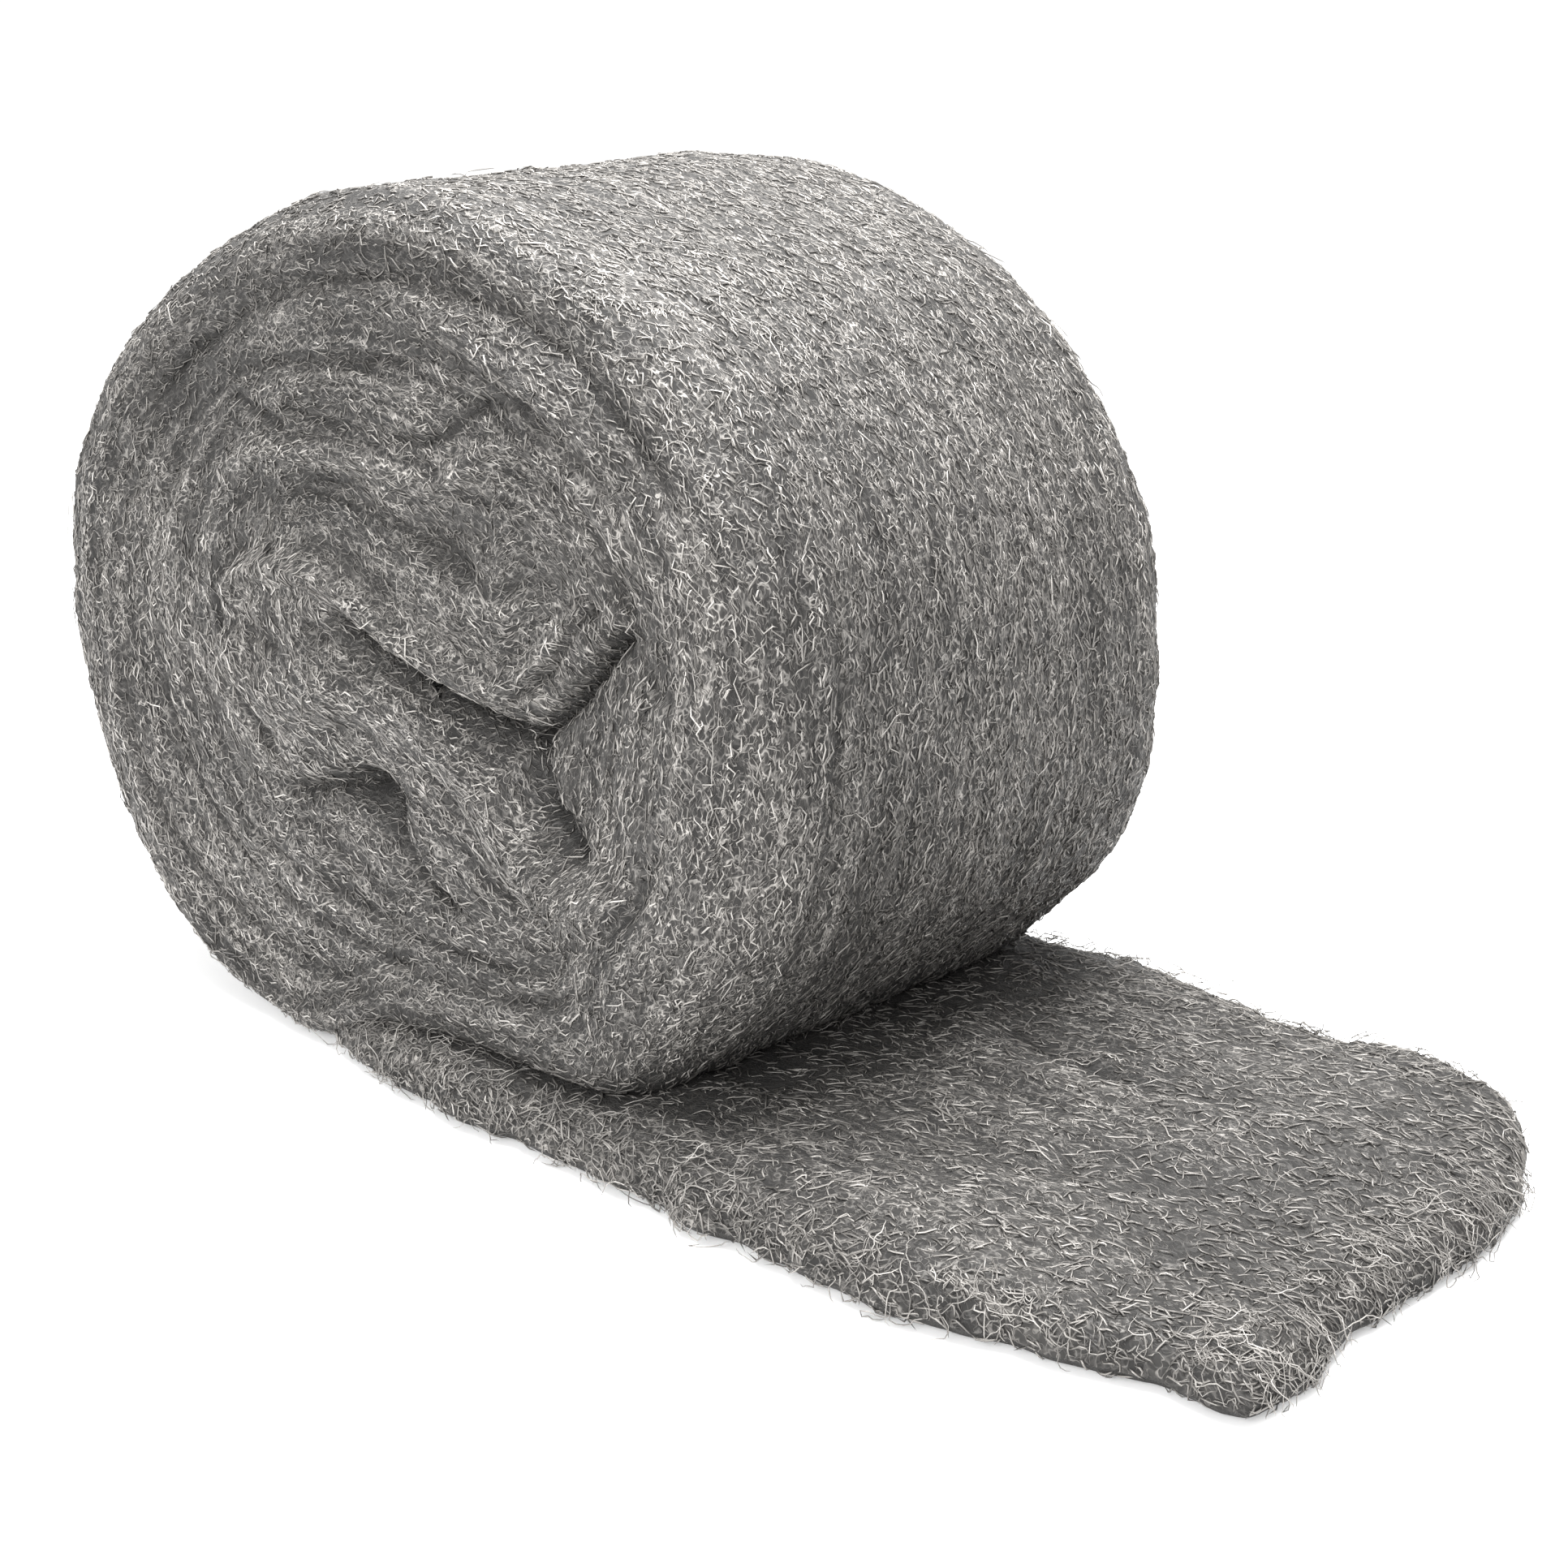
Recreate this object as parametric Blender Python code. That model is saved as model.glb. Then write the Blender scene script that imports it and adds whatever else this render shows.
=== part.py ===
"""Steel wool roll: one fibre web wound into a soft roll, its free end lying flat on the table.

Metres, +Z up.  The roll's axis lies along Y and the free end runs along +X.
The web is one closed solid: its middle line is a sagging spiral in the XZ plane that
ends in a folded core, and its rounded section is lofted along that line.
"""
import math

import bmesh
import bpy
from mathutils import Vector

NAME = "wool_roll"

# web
WEB_WIDTH = 0.0900          # across the fibres, along Y
TAIL_THICKNESS = 0.0086     # web lying loose on the table
TAIL_TIP_THICKNESS = 0.0062
ROLL_THICKNESS_MAX = 0.0110  # loosest place inside the roll
TURN_GAP = 0.0007           # air left between neighbouring turns
END_THICKNESS = 0.0034      # folded inner end

# roll, measured to the web's middle line
TURNS = 4.79                # from the lowest point, clockwise seen from -Y
LEFT_START, LEFT_PITCH = 0.0758, 0.0084
RIGHT_START, RIGHT_PITCH = 0.0790, 0.0052
TOP_START, TOP_PITCH = 0.1222, 0.0096
BASE_PITCH, BASE_PACKING = 0.0087, 0.00053   # turns below carry the roll and pack tighter inwards
SQUARENESS = 2.13           # exponent of the sagging cross-section's outline
SQUARENESS_RIGHT = -0.20    # change towards the free end's side
SQUARENESS_TOE = 1.30       # fuller where the roll settles on the web
SQUARENESS_HEAD = -0.47     # flatter at the upper left
LEAN = 0.020                # the roll leans towards its free end

# free end
TAIL_LENGTH = 0.1460        # from the lowest point to the torn edge
TAIL_SHIFT_Y = -0.0034      # the web runs slightly askew
TAIL_TEAR = 0.0130          # the torn edge slants back on the +Y side
FLAT_TURN = 0.030           # share of the first turn that still lies on the table
TAIL_FLARE = 0.0006         # half-width gained where the web lies flat

# folded core: the web turns round these (centre x, centre z, radius)
CORE_HEEL = (0.0350, 0.0475, 0.0085)
CORE_LOBE = (-0.0215, 0.0545, 0.0066)
CORE_VEE = (0.0270, 0.0655, 0.0050)
TONGUE_TIP = (0.0378, 0.0690)

# section across the web: fraction of half-width, fraction of half-thickness
SECTION_SIDE = ((-0.70, 1.00), (0.0, 1.00), (0.70, 1.00), (0.93, 0.88), (0.985, 0.50))
RIM_DROOP = 0.0045          # outer turns sink inwards at both rims
STEPS_PER_TURN = 36
CORE_STEP = 0.0042
TAIL_STEPS = 11

WOOL_COLOUR = (0.235, 0.225, 0.215, 1.0)
WOOL_ROUGHNESS = 0.50
WOOL_METALLIC = 0.75


def outline_point(turn):
    """Middle line of the wound web after the given number of turns."""
    angle = math.radians(270.0 - 360.0 * turn)
    c, s = math.cos(angle), math.sin(angle)
    left = -(LEFT_START - LEFT_PITCH * turn)
    right = RIGHT_START - RIGHT_PITCH * turn
    top = TOP_START - TOP_PITCH * turn
    base = 0.5 * TAIL_THICKNESS + BASE_PITCH * turn - BASE_PACKING * turn * turn
    cx, ax = 0.5 * (left + right), 0.5 * (right - left)
    cz, az = 0.5 * (top + base), 0.5 * (top - base)
    toe = max(0.0, math.cos(angle + math.radians(50.0))) ** 2
    head = max(0.0, math.cos(angle - math.radians(135.0))) ** 2
    n = SQUARENESS + SQUARENESS_RIGHT * c + SQUARENESS_TOE * toe + SQUARENESS_HEAD * head
    k = (abs(c) ** n + abs(s) ** n) ** (-1.0 / n)
    x = cx + ax * c * k
    z = cz + az * s * k
    return Vector((x + LEAN * (z - 0.5 * TAIL_THICKNESS), z))


def tangent_between(circle_a, side_a, circle_b, side_b):
    """Straight piece touching two circles; side +1 turns clockwise, -1 the other way."""
    ca, ra = Vector(circle_a[:2]), circle_a[2] * side_a
    cb, rb = Vector(circle_b[:2]), circle_b[2] * side_b
    d = cb - ca
    heading = math.atan2(d.y, d.x) + math.asin((rb - ra) / d.length)
    left_normal = Vector((-math.sin(heading), math.cos(heading)))
    return ca + left_normal * ra, cb + left_normal * rb, heading


def arc_points(circle, side, start, stop):
    """Points on a circle from one touching point to another, in its turning direction."""
    c, r = Vector(circle[:2]), circle[2]
    a0 = math.atan2(start.y - c.y, start.x - c.x)
    a1 = math.atan2(stop.y - c.y, stop.x - c.x)
    sweep = (a0 - a1) % (2 * math.pi) if side > 0 else (a1 - a0) % (2 * math.pi)
    count = max(2, round(sweep / math.radians(22.0)))
    sign = -1.0 if side > 0 else 1.0
    return [c + r * Vector((math.cos(a0 + sign * sweep * i / count),
                            math.sin(a0 + sign * sweep * i / count)))
            for i in range(count + 1)]


def middle_line():
    """Stations from the torn free end to the folded inner end: point, turn count, tail share."""
    stations = []
    start = outline_point(0.0)
    for i in range(TAIL_STEPS):
        f = i / TAIL_STEPS
        x = TAIL_LENGTH + (start.x - TAIL_LENGTH) * (1.0 - (1.0 - f) ** 1.25)
        stations.append((Vector((x, start.y)), 0.0, 1.0 - f))
    steps = int(TURNS * STEPS_PER_TURN)
    for i in range(steps + 1):
        turn = TURNS * i / steps
        stations.append((outline_point(turn), turn, 0.0))

    # from the last wound point into the core, tangent to the heel
    last = outline_point(TURNS)
    point_circle = (last.x, last.y, 0.0)
    _, heel_in, _ = tangent_between(point_circle, 1, CORE_HEEL, 1)
    heel_out, lobe_in, _ = tangent_between(CORE_HEEL, 1, CORE_LOBE, 1)
    lobe_out, vee_in, _ = tangent_between(CORE_LOBE, 1, CORE_VEE, -1)
    vee_out, _, _ = tangent_between(CORE_VEE, -1, (TONGUE_TIP[0], TONGUE_TIP[1], 0.0), 1)
    core = [last, heel_in]
    core += arc_points(CORE_HEEL, 1, heel_in, heel_out)
    core += [lobe_in]
    core += arc_points(CORE_LOBE, 1, lobe_in, lobe_out)
    core += [vee_in]
    core += arc_points(CORE_VEE, -1, vee_in, vee_out)
    core += [Vector(TONGUE_TIP)]
    for a, b in zip(core, core[1:]):
        gap = (b - a).length
        if gap < 2e-4:
            continue
        pieces = max(1, round(gap / CORE_STEP))
        for i in range(1, pieces + 1):
            stations.append((a.lerp(b, i / pieces), TURNS, 0.0))
    return stations


def smooth_line(stations, first, rounds):
    """Round off the joints between spiral, arcs and straights."""
    for _ in range(rounds):
        points = [p.copy() for p, _, _ in stations]
        for i in range(first, len(points) - 1):
            mean = (points[i - 1] + points[i + 1]) * 0.5
            stations[i] = (points[i].lerp(mean, 0.5), stations[i][1], stations[i][2])
    return stations


def clearances(points):
    """Distance from each station to the rest of the web, leaving out its own neighbourhood."""
    along = [0.0]
    for a, b in zip(points, points[1:]):
        along.append(along[-1] + (b - a).length)
    result = []
    for i, p in enumerate(points):
        best = 1.0
        for j in range(len(points) - 1):
            if min(abs(along[j] - along[i]), abs(along[j + 1] - along[i])) < 0.0185:
                continue
            a, b = points[j], points[j + 1]
            d = b - a
            f = max(0.0, min(1.0, (p - a).dot(d) / d.length_squared))
            best = min(best, (p - a - d * f).length)
        result.append(best)
    return result


def half_thicknesses(stations):
    points = [p for p, _, _ in stations]
    room = clearances(points)
    halves = []
    for i, (p, turn, tail) in enumerate(stations):
        if tail > 0.0:
            limit = TAIL_THICKNESS + (TAIL_TIP_THICKNESS - TAIL_THICKNESS) * max(0.0, (tail - 0.7) / 0.3)
        else:
            limit = TAIL_THICKNESS + (ROLL_THICKNESS_MAX - TAIL_THICKNESS) * min(1.0, turn / 0.5)
        # a bend never folds the inner face over itself
        bend = 1.0
        if 0 < i < len(points) - 1:
            u, v = points[i] - points[i - 1], points[i + 1] - points[i]
            turn_angle = abs(u.angle_signed(v, 0.0))
            if turn_angle > 1e-6:
                bend = 0.5 * (u.length + v.length) / turn_angle
        half = min(0.5 * limit, 0.5 * (room[i] - TURN_GAP), max(0.0012, bend - 0.0009))
        halves.append(half)
    # the inner end thins out
    for k in range(4):
        f = (k + 0.5) / 4.0
        i = len(halves) - 1 - k
        halves[i] = min(halves[i], 0.5 * END_THICKNESS * (1.0 - f) + halves[len(halves) - 5] * f)
    # neighbouring stations change gently and never grow past their own limit
    for _ in range(3):
        halves = [min(h, 0.5 * h + 0.25 * (halves[max(0, i - 1)] + halves[min(len(halves) - 1, i + 1)]))
                  for i, h in enumerate(halves)]
    return halves


def bump(value, centre, spread):
    return math.exp(-((value - centre) / spread) ** 2)


def half_width(turn, tail):
    """Outer turns are drawn in at the rims, the second turn stands proud, the core is level."""
    half = 0.5 * WEB_WIDTH
    if tail > 0.0:
        return half + TAIL_FLARE * min(1.0, tail * 2.0) - 0.0012 * max(0.0, (tail - 0.85) / 0.15)
    return half - 0.0042 * bump(turn, 0.45, 0.33) - 0.0024 * bump(turn, 2.25, 0.75)


def build_web():
    stations = middle_line()
    joint = TAIL_STEPS + int(TURNS * STEPS_PER_TURN) - 2
    stations = smooth_line(stations, joint, 3)
    halves = half_thicknesses(stations)
    points = [p for p, _, _ in stations]
    outer = [(v, f) for v, f in SECTION_SIDE]
    ring = [(-1.0, 0.0), (-0.985, 0.50), (-0.93, 0.88)]
    ring += outer
    ring += [(1.0, 0.0)]
    ring += [(v, -f) for v, f in reversed(outer)]
    ring += [(-0.93, -0.88), (-0.985, -0.50)]

    bm = bmesh.new()
    rings = []
    for i, (p, turn, tail) in enumerate(stations):
        before = points[max(0, i - 1)]
        after = points[min(len(points) - 1, i + 1)]
        t = (after - before).normalized()
        flat = tail > 0.0 or turn <= FLAT_TURN
        outward = Vector((0.0, -1.0)) if flat else Vector((-t.y, t.x))
        droop = 0.0
        if not flat:
            droop = RIM_DROOP * min(1.0, turn / 0.22) * max(0.0, 1.0 - turn / TURNS)
        w = half_width(turn, tail)
        shift = TAIL_SHIFT_Y * min(1.0, tail * 2.0) if tail > 0.0 else 0.0
        loop = []
        for v, f in ring:
            edge = 1.0 if flat else 0.86 + 0.14 * (1.0 - abs(v) ** 3)
            offset = halves[i] * f * edge - droop * max(0.0, (abs(v) - 0.5) / 0.5) ** 2.2
            x = p.x + outward.x * offset
            z = p.y + outward.y * offset
            y = v * w + shift
            if tail > 0.0:
                slant = max(0.0, (y / (0.5 * WEB_WIDTH) - 0.15) / 0.85) ** 1.2
                x -= TAIL_TEAR * slant * max(0.0, (tail - 0.55) / 0.45)
            if flat:
                z -= p.y - halves[i]               # the web lies on the table here
            loop.append(bm.verts.new((x, y, z)))
        rings.append(loop)
    n = len(ring)
    for a, b in zip(rings, rings[1:]):
        for k in range(n):
            bm.faces.new((a[k], a[(k + 1) % n], b[(k + 1) % n], b[k]))
    bm.faces.new(list(reversed(rings[0])))
    bm.faces.new(rings[-1])
    bmesh.ops.recalc_face_normals(bm, faces=bm.faces)
    # quads are split the same way on every turn so neighbouring faces stay parallel
    bmesh.ops.triangulate(bm, faces=[f for f in bm.faces if len(f.verts) > 4],
                          ngon_method='BEAUTY')
    # origin on the table, below the middle of the whole part
    xs = [v.co.x for v in bm.verts]
    ys = [v.co.y for v in bm.verts]
    middle = Vector((0.5 * (min(xs) + max(xs)), 0.5 * (min(ys) + max(ys)), 0.0))
    bmesh.ops.translate(bm, verts=bm.verts, vec=-middle)
    mesh = bpy.data.meshes.new(NAME)
    bm.to_mesh(mesh)
    bm.free()
    mesh.shade_smooth()
    return mesh


def make_material():
    mat = bpy.data.materials.new("steel_wool")
    mat.use_nodes = True
    shader = mat.node_tree.nodes["Principled BSDF"]
    shader.inputs["Base Color"].default_value = WOOL_COLOUR
    shader.inputs["Roughness"].default_value = WOOL_ROUGHNESS
    shader.inputs["Metallic"].default_value = WOOL_METALLIC
    mat.diffuse_color = WOOL_COLOUR
    return mat


def main():
    for item in list(bpy.context.scene.objects):
        bpy.data.objects.remove(item, do_unlink=True)
    group = bpy.data.collections.new("steel_wool_roll")
    bpy.context.scene.collection.children.link(group)
    mesh = build_web()
    mesh.materials.append(make_material())
    body = bpy.data.objects.new(NAME, mesh)
    group.objects.link(body)


main()
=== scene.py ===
import math

import bpy
import numpy as np
from mathutils import Matrix, Vector


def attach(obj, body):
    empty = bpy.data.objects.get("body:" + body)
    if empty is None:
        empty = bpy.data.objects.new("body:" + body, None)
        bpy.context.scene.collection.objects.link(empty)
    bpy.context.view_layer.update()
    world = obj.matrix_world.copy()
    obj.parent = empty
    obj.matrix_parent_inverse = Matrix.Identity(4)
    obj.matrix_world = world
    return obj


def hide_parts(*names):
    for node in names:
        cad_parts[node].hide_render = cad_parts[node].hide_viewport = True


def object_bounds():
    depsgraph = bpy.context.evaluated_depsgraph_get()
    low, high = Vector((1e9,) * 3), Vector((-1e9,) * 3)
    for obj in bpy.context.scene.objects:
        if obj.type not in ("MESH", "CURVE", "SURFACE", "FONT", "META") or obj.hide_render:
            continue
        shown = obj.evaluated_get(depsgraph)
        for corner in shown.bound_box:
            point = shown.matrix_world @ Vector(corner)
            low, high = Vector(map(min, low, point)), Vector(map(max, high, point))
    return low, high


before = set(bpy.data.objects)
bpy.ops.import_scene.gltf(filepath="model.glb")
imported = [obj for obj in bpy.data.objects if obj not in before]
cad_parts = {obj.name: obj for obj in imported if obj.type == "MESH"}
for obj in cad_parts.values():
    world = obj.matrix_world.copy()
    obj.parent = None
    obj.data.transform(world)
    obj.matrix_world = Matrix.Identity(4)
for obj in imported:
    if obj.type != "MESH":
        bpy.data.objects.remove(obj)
cad_lo, cad_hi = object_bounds()

# Everything below is worked out in millimetres, x counted from the roll's lowest point,
# and moved into the row frame at the end.
SHIFT = np.array([cad_lo.x * 1000.0 + 76.370, cad_lo.y * 1000.0 + 49.0, 0.0])
MM = 0.001

# ----------------------------------------------------------------------------- sizes
LEFT, RIGHT, TOP = 77.74, 77.50, 121.6      # roll's outline from the lowest point
SQUARE, SQUARE_RIGHT, SQUARE_TOE, SQUARE_HEAD = 2.13, -0.20, 0.66, -0.47
LEAN = 0.020
TOE_SAG = 0.75
SAG, SAG_X = 4.8, 53.0
FACE_Y, BACK_Y = -45.8, 44.9                # end faces
FACE_DISH = 2.3                             # the end face lies a little inside the rim
RIM_F, RIM_B = 12.8, 14.9                   # rounding of the rims
RIM_F_TOE, RIM_B_TOE = 4.4, 13.0            # tighter where the roll sits on the web
ROLL_BASE = 8.3                             # the roll rests on its own web
WEB = 8.6
TAIL_X = 148.0                              # torn end
FRONT_EDGE = [(-60, -38.0), (-34, -42.4), (-20, -44.6), (-10, -45.8), (0, -47.2), (12, -49.0), (28, -50.6), (46, -51.0),
              (60, -51.3), (89, -51.4), (105, -50.8), (112, -50.0), (119, -48.2), (127, -46.0), (134, -43.9),
              (141, -42.6), (150, -42.6)]
BACK_EDGE = [(-60, 45.3), (0, 46.0), (30, 47.5), (48, 49.5), (62, 51.2), (75, 49.6), (85, 47.4), (93, 46.2),
             (101, 46.0), (110, 46.2), (116, 48.6), (122, 50.2), (128, 49.4), (150, 47.0)]
END_EDGE = [(-50, 144.5), (-43, 146.5), (-36, 147.6), (-28, 147.2), (-20, 145.6), (-12, 145.4), (-2, 146.0), (8, 146.4),
            (14, 145.8), (22, 143.8), (30, 141.0), (36, 137.8), (40, 134.8), (44, 131.4), (48, 128.0), (54, 124.5)]
CORE = np.array([15.0, 60.0])               # middle of the polar face grid

# fold lines on the -Y end face (x, z)
GROOVE_A = [(-6.6, 65.9), (-1.6, 64.5), (2.5, 62.8), (11.2, 60.8), (21.4, 58.1), (29.6, 55.8), (36.8, 55)]
GROOVE_B = [(38.2, 55.2), (42.1, 58.1), (46.9, 62.1), (51.6, 67.2), (56.1, 72)]
GROOVE_C = [(37.3, 54.5), (39, 51), (40.2, 47.4), (42.4, 45.1), (46.2, 41.6), (48.3, 39.2)]
TONGUE_GROOVE = [(32.9, 59.1), (39.3, 62.4), (44.1, 66.4), (48, 70.7), (51.1, 74.7)]
TONGUE = [(36.8, 57.9), (43.1, 61.4), (48.3, 66.3), (52.9, 71.6), (55.4, 75.0)]
RIDGE_A = [(-27.9, 61.8), (-23.2, 67.4), (-16.2, 69.4), (-8.5, 69.7), (-1.3, 68.3), (5.6, 65.5), (14.2, 62.8),
           (22.5, 61.0), (30.7, 60.2), (37.2, 61.9), (41.8, 65.6), (46.5, 70.0), (50.3, 74.0)]
POCKET_D = [(-21.3, 39), (-14.3, 37.8), (-7.2, 39.8), (0.5, 42), (6.7, 41.1)]
POCKET_LINE = [(5.7, 39.8), (9.9, 34), (14.1, 30.2), (17.6, 28.7), (22.7, 27.4)]
LOBE_SIDE = [(-20.5, 72.6), (-27.5, 69.9), (-30.5, 62.4), (-29.5, 54.4), (-25.5, 46.9), (-18.5, 41.9)]
BAND_B = [(-27.1, 60.0), (-24.5, 52.8), (-16, 50.5), (-4, 53.6), (6, 54.2), (17.4, 51.0), (25.5, 46.6),
          (32.0, 40.2), (40.2, 35.2), (48.3, 34.6), (53.5, 39.5)]
CRESCENT = [(-48.8, 84.1), (-41.1, 94.3), (-25.6, 104.7), (-9.9, 110.2), (11.5, 112.6), (24.6, 111.3),
            (39.9, 107.5), (51.4, 100.7), (62.4, 91.2), (67.8, 84.2)]
WAVY = [(-36, 76.5), (-30.2, 81.3), (-20, 84.9), (-10.3, 85.9), (0, 87.2), (7.7, 86.8), (17.8, 84.6), (24.4, 86.6),
        (31.8, 91.1), (38.8, 91.9), (46.1, 89.2), (54.6, 83.4), (60.5, 75)]
BELOW_WAVY = [(-24.4, 76.5), (-12.4, 80.3), (-2.4, 81.1), (7.6, 80.1), (15.1, 78), (19.6, 74.9), (24.1, 74.1)]
HOLLOW = [(17.1, 78.9), (21.6, 77.1), (25.6, 74.7)]
# further turn edges on the end face, each with the strength of the painted shade along it
TURN_LINES = [
    ([(-44, 74), (-38, 86), (-26, 94.5), (-10, 99), (8, 100.5), (24, 101)], 0.45),
    ([(-56, 70), (-53, 84), (-44, 96), (-30, 105), (-12, 110.5)], 0.30),
    ([(-46, 62), (-48, 48), (-43, 36), (-33, 27), (-18, 20.5), (0, 17.5), (20, 17), (38, 19), (52, 25)], 0.42),
    ([(-40, 58), (-41, 46), (-36, 36.5), (-26, 29.5), (-12, 25), (4, 22.5), (20, 21.5), (36, 23), (48, 27.5)], 0.36),
    ([(-56, 56), (-56, 42), (-49, 28), (-36, 17.5), (-18, 12.5), (2, 11), (22, 11.5), (42, 14)], 0.36),
    ([(40, 29), (50, 31.5), (58, 39), (61.5, 50), (61, 62), (57, 73), (49, 82)], 0.30),
    ([(30, 24.5), (42, 27), (54, 33.5), (62.5, 44), (66, 57), (64, 71), (57, 83)], 0.30),
    ([(-34, 72), (-27, 77), (-15, 81.5), (-2, 83.5), (8, 83)], 0.40),
    ([(-20, 31.5), (-8, 33.5), (0, 33)], 0.35),
    ([(10, 47), (18, 44.5), (25.5, 39), (31, 32.5), (38, 28.5)], 0.38),
    ([(-14, 45.5), (-2, 48.5), (8, 48.5)], 0.30),
]
# folds on the free end: path, width, height, and the painted shade along them
TAIL_FOLDS = [([(62, 4), (84, 0), (104, 3), (124, 10), (140, 17)], 3.2, 1.3, 0.0),
              ([(66, 14), (84, 9), (100, 10), (112, 14)], 2.6, -1.2, 0.55),
              ([(96, -18), (116, -12), (132, -6)], 7.0, -1.3, 0.30),
              ([(40, -30), (70, -34), (110, -32)], 5.0, 0.8, 0.0)]
SKELETON = [GROOVE_A, GROOVE_B, GROOVE_C]


# ------------------------------------------------------------------------ small tools
def noise3(p, seed=0):
    """Smooth value noise in -1..1 at the points p (n, 3)."""
    p = np.asarray(p, float)
    base = np.floor(p).astype(np.int64)
    f = p - base
    f = f * f * f * (f * (f * 6 - 15) + 10)
    out = np.zeros(len(p))
    for dx in (0, 1):
        for dy in (0, 1):
            for dz in (0, 1):
                h = ((base[:, 0] + dx) * 73856093) ^ ((base[:, 1] + dy) * 19349663) ^ ((base[:, 2] + dz) * 83492791)
                h = (h ^ (seed * 2654435761)) & 0x7FFFFFFF
                h = (h ^ (h >> 15)) * 2246822519 & 0x7FFFFFFF
                h = (h ^ (h >> 13)) * 3266489917 & 0x7FFFFFFF
                v = ((h ^ (h >> 16)) & 0xFFFF) / 32767.5 - 1.0
                w = (f[:, 0] if dx else 1 - f[:, 0]) * (f[:, 1] if dy else 1 - f[:, 1]) * (f[:, 2] if dz else 1 - f[:, 2])
                out += v * w
    return out


def fractal(p, seed=0, octaves=3, gain=0.5):
    total, amount, size = np.zeros(len(p)), 1.0, 0.0
    for k in range(octaves):
        total += amount * noise3(np.asarray(p) * 2.0 ** k, seed + 17 * k)
        size += amount
        amount *= gain
    return total / size


def smooth(a, b, x):
    t = np.clip((np.asarray(x, float) - a) / (b - a), 0.0, 1.0)
    return t * t * (3 - 2 * t)


def densify(line, step=0.5):
    line = np.asarray(line, float)
    out = []
    padded = np.vstack([2 * line[0] - line[1], line, 2 * line[-1] - line[-2]])
    for i in range(1, len(padded) - 2):
        p0, p1, p2, p3 = padded[i - 1:i + 3]
        n = max(2, int(np.linalg.norm(p2 - p1) / step))
        for t in np.arange(n) / n:
            out.append(0.5 * (2 * p1 + (p2 - p0) * t + (2 * p0 - 5 * p1 + 4 * p2 - p3) * t * t
                              + (3 * p1 - p0 - 3 * p2 + p3) * t ** 3))
    out.append(line[-1])
    return np.array(out)


def line_distance(points, line, ends=(0.0, 0.0)):
    """Distance to a fold line, the share 0..1 of full strength near its ends, and which side (+ left)."""
    dense = densify(line)
    along = np.r_[0, np.cumsum(np.linalg.norm(np.diff(dense, axis=0), axis=1))]
    best = np.full(len(points), 1e9)
    near = np.zeros(len(points), int)
    for start in range(0, len(dense), 24):
        part = dense[start:start + 24]
        d = np.linalg.norm(points[:, None, :] - part[None], axis=2)
        k = d.argmin(1)
        m = d[np.arange(len(points)), k]
        closer = m < best
        best[closer] = m[closer]
        near[closer] = start + k[closer]
    where = along[near]
    fade = np.ones(len(points))
    if ends[0] > 0:
        fade *= smooth(0, ends[0], where)
    if ends[1] > 0:
        fade *= smooth(0, ends[1], along[-1] - where)
    t = np.gradient(dense, axis=0)[near]
    t /= np.linalg.norm(t, axis=1)[:, None] + 1e-9
    gap = points - dense[near]
    return best, fade, t[:, 0] * gap[:, 1] - t[:, 1] * gap[:, 0]


def turned(angle):
    return np.degrees(angle) % 360.0


def roll_base(angle):
    """The roll's surface reaches the floor on the left and sits on the web on the right."""
    d = turned(angle)
    return ROLL_BASE - (ROLL_BASE - 0.4) * smooth(90, 150, d) * (1 - smooth(257, 282, d))


def rim_front(angle):
    d = turned(angle)
    heel = 2.2 * smooth(232, 246, d) * (1 - smooth(262, 276, d))
    return RIM_F - (RIM_F - RIM_F_TOE) * smooth(210, 243, d) * (1 - smooth(293, 317, d)) - heel


def rim_back(angle):
    d = turned(angle)
    return RIM_B - (RIM_B - RIM_B_TOE) * smooth(250, 290, d) * (1 - smooth(318, 350, d))


def outline(angle, base):
    """Outer surface of the roll at an angle counted from +X, lowest point at the given height."""
    c, s = np.cos(angle), np.sin(angle)
    cx, ax = (RIGHT - LEFT) / 2, (RIGHT + LEFT) / 2
    cz, az = (TOP + base) / 2, (TOP - base) / 2
    toe = np.maximum(0, np.cos(angle + math.radians(50))) ** 2 * (1 + TOE_SAG * smooth(0, ROLL_BASE, base))
    head = np.maximum(0, np.cos(angle - math.radians(135))) ** 2
    n = SQUARE + SQUARE_RIGHT * c + SQUARE_TOE * toe + SQUARE_HEAD * head
    k = (np.abs(c) ** n + np.abs(s) ** n) ** (-1.0 / n)
    x, z = cx + ax * c * k, cz + az * s * k
    x = x + LEAN * (z - base)
    # the roll sags to a flat patch where it sits on the web
    wide = np.where(x < SAG_X, 14.0, 7.0)
    z = z - SAG * np.exp(-((x - SAG_X) / wide) ** 2) * smooth(0, ROLL_BASE, base) * smooth(50, 30, z)
    return np.stack([x, z], -1)


def swell(angle, y):
    """Small departures of the roll from a straight barrel, by angle and place across the web."""
    d = turned(angle)
    out = (0.8 * np.exp(-((d - 131) / 10) ** 2) - 0.7 * np.exp(-((d - 98) / 10) ** 2)
           - 1.0 * np.exp(-((d - 62) / 13) ** 2)) * smooth(10, -30, y)
    out += 1.9 * np.exp(-((d - 82) / 14) ** 2) * smooth(-25, 20, y)
    gap = np.minimum(np.abs(d - 19), 360 - np.abs(d - 19))
    return out - 2.3 * np.exp(-(gap / 22) ** 2) * smooth(-20, 25, y)


def outward(curve, closed=True):
    if closed:
        t = np.roll(curve, -1, 0) - np.roll(curve, 1, 0)
    else:
        t = np.gradient(curve, axis=0)
    n = np.stack([t[:, 1], -t[:, 0]], -1)
    return n / np.linalg.norm(n, axis=1)[:, None]


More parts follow.
